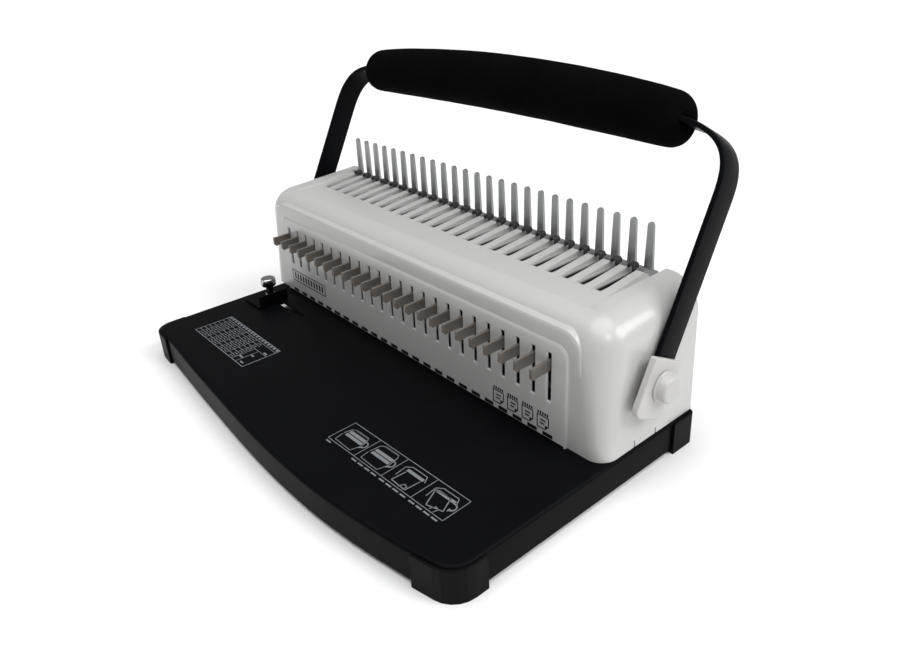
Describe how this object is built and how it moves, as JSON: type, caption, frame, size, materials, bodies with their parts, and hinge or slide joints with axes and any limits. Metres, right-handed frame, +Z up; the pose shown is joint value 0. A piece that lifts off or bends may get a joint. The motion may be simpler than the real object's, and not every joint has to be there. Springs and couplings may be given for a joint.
{
  "type": "comb binding machine",
  "caption": "Manual comb binding machine: deck, housing with pull-out die selector tabs, a fixed finger row with comb opening hooks, and a foam-gripped handle that works punches and hooks.",
  "frame": {"origin": "middle of the whole machine's box, on the table", "axes": "+X along the pin row to the right of the user, +Y from the user to the back, +Z up"},
  "size_m": [0.4532, 0.2904, 0.2415],
  "materials": {
    "black_paint": "satin",
    "black_plastic": "satin",
    "white_plastic": "satin",
    "dark_steel": "satin",
    "zinc_steel": "satin",
    "tab_brown": "satin",
    "nylon": "satin",
    "foam": "matte",
    "chrome": "polished"
  },
  "bodies": {
    "root": {"base_tray": "black_paint", "foot_front_left": "black_plastic", "foot_front_right": "black_plastic", "foot_rear_left": "black_plastic", "foot_rear_right": "black_plastic", "top_cover": "white_plastic", "rear_cover": "white_plastic", "side_frame_left": "dark_steel", "side_frame_right": "dark_steel", "bush_left": "nylon", "bush_right": "nylon", "punch_guide": "dark_steel", "die_plate": "zinc_steel", "paper_stop": "zinc_steel", "finger_comb": "zinc_steel", "hook_rail_left": "dark_steel", "hook_rail_right": "dark_steel"},
    "handle": {"handle_bar": "black_paint", "foam_grip": "foam", "pivot_cover_left": "white_plastic", "pivot_cap_left": "white_plastic", "pivot_cover_right": "white_plastic", "pivot_cap_right": "white_plastic", "drive_shaft": "zinc_steel", "crank_left": "dark_steel", "hook_lever_left": "dark_steel", "crank_right": "dark_steel", "hook_lever_right": "dark_steel"},
    "ram": {"ram_bar": "dark_steel", "punch_set": "zinc_steel"},
    "hooks": {"hook_comb": "dark_steel"},
    "drawer": {"chip_drawer": "black_plastic"},
    "guide": {"edge_guide": "black_paint", "guide_nut": "zinc_steel"},
    "knob": {"guide_knob": "chrome"},
    "tab_01": {"selector_tab_01": "tab_brown"},
    "tab_02": {"selector_tab_02": "tab_brown"},
    "tab_03": {"selector_tab_03": "tab_brown"},
    "tab_04": {"selector_tab_04": "tab_brown"},
    "tab_05": {"selector_tab_05": "tab_brown"},
    "tab_06": {"selector_tab_06": "tab_brown"},
    "tab_07": {"selector_tab_07": "tab_brown"},
    "tab_08": {"selector_tab_08": "tab_brown"},
    "tab_09": {"selector_tab_09": "tab_brown"},
    "tab_10": {"selector_tab_10": "tab_brown"},
    "tab_11": {"selector_tab_11": "tab_brown"},
    "tab_12": {"selector_tab_12": "tab_brown"},
    "tab_13": {"selector_tab_13": "tab_brown"},
    "tab_14": {"selector_tab_14": "tab_brown"},
    "tab_15": {"selector_tab_15": "tab_brown"},
    "tab_16": {"selector_tab_16": "tab_brown"},
    "tab_17": {"selector_tab_17": "tab_brown"},
    "tab_18": {"selector_tab_18": "tab_brown"},
    "tab_19": {"selector_tab_19": "tab_brown"},
    "tab_20": {"selector_tab_20": "tab_brown"},
    "tab_21": {"selector_tab_21": "tab_brown"},
    "tab_22": {"selector_tab_22": "tab_brown"},
    "tab_23": {"selector_tab_23": "tab_brown"},
    "tab_24": {"selector_tab_24": "tab_brown"}
  },
  "joints": [
    {"name": "handle_pull", "type": "hinge", "parent": "root", "child": "handle", "pos_m": [0, 0.04242, 0.0705], "axis": [1, 0, 0], "range_deg": [0, 85]},
    {"name": "ram_press", "type": "slide", "parent": "root", "child": "ram", "axis": [0, 0, -1], "range_m": [0, 0.0181]},
    {"name": "comb_open", "type": "slide", "parent": "root", "child": "hooks", "axis": [0, -1, 0], "range_m": [0, 0.0301]},
    {"name": "drawer_slide", "type": "slide", "parent": "root", "child": "drawer", "axis": [0, 1, 0], "range_m": [0, 0.075]},
    {"name": "guide_slide", "type": "slide", "parent": "root", "child": "guide", "axis": [1, 0, 0], "range_m": [0, 0.045]},
    {"name": "knob_turn", "type": "hinge", "parent": "guide", "child": "knob", "pos_m": [-0.176, -0.02678, 0.041], "axis": [0, 0, 1], "range_deg": [0, 360]},
    {"name": "tab_01_pull", "type": "slide", "parent": "ram", "child": "tab_01", "axis": [0, -1, 0], "range_m": [0, 0.008]},
    {"name": "tab_02_pull", "type": "slide", "parent": "ram", "child": "tab_02", "axis": [0, -1, 0], "range_m": [0, 0.008]},
    {"name": "tab_03_pull", "type": "slide", "parent": "ram", "child": "tab_03", "axis": [0, -1, 0], "range_m": [0, 0.008]},
    {"name": "tab_04_pull", "type": "slide", "parent": "ram", "child": "tab_04", "axis": [0, -1, 0], "range_m": [0, 0.008]},
    {"name": "tab_05_pull", "type": "slide", "parent": "ram", "child": "tab_05", "axis": [0, -1, 0], "range_m": [0, 0.008]},
    {"name": "tab_06_pull", "type": "slide", "parent": "ram", "child": "tab_06", "axis": [0, -1, 0], "range_m": [0, 0.008]},
    {"name": "tab_07_pull", "type": "slide", "parent": "ram", "child": "tab_07", "axis": [0, -1, 0], "range_m": [0, 0.008]},
    {"name": "tab_08_pull", "type": "slide", "parent": "ram", "child": "tab_08", "axis": [0, -1, 0], "range_m": [0, 0.008]},
    {"name": "tab_09_pull", "type": "slide", "parent": "ram", "child": "tab_09", "axis": [0, -1, 0], "range_m": [0, 0.008]},
    {"name": "tab_10_pull", "type": "slide", "parent": "ram", "child": "tab_10", "axis": [0, -1, 0], "range_m": [0, 0.008]},
    {"name": "tab_11_pull", "type": "slide", "parent": "ram", "child": "tab_11", "axis": [0, -1, 0], "range_m": [0, 0.008]},
    {"name": "tab_12_pull", "type": "slide", "parent": "ram", "child": "tab_12", "axis": [0, -1, 0], "range_m": [0, 0.008]},
    {"name": "tab_13_pull", "type": "slide", "parent": "ram", "child": "tab_13", "axis": [0, -1, 0], "range_m": [0, 0.008]},
    {"name": "tab_14_pull", "type": "slide", "parent": "ram", "child": "tab_14", "axis": [0, -1, 0], "range_m": [0, 0.008]},
    {"name": "tab_15_pull", "type": "slide", "parent": "ram", "child": "tab_15", "axis": [0, -1, 0], "range_m": [0, 0.008]},
    {"name": "tab_16_pull", "type": "slide", "parent": "ram", "child": "tab_16", "axis": [0, -1, 0], "range_m": [0, 0.008]},
    {"name": "tab_17_pull", "type": "slide", "parent": "ram", "child": "tab_17", "axis": [0, -1, 0], "range_m": [0, 0.008]},
    {"name": "tab_18_pull", "type": "slide", "parent": "ram", "child": "tab_18", "axis": [0, -1, 0], "range_m": [0, 0.008]},
    {"name": "tab_19_pull", "type": "slide", "parent": "ram", "child": "tab_19", "axis": [0, -1, 0], "range_m": [0, 0.008]},
    {"name": "tab_20_pull", "type": "slide", "parent": "ram", "child": "tab_20", "axis": [0, -1, 0], "range_m": [0, 0.008]},
    {"name": "tab_21_pull", "type": "slide", "parent": "ram", "child": "tab_21", "axis": [0, -1, 0], "range_m": [0, 0.008]},
    {"name": "tab_22_pull", "type": "slide", "parent": "ram", "child": "tab_22", "axis": [0, -1, 0], "range_m": [0, 0.008]},
    {"name": "tab_23_pull", "type": "slide", "parent": "ram", "child": "tab_23", "axis": [0, -1, 0], "range_m": [0, 0.008]},
    {"name": "tab_24_pull", "type": "slide", "parent": "ram", "child": "tab_24", "axis": [0, -1, 0], "range_m": [0, 0.008]}
  ],
  "couplings": [
    {"joint": "ram_press", "follows": "handle_pull", "m_per_rad": 0.012133},
    {"joint": "comb_open", "follows": "handle_pull", "m_per_rad": 0.020222}
  ]
}
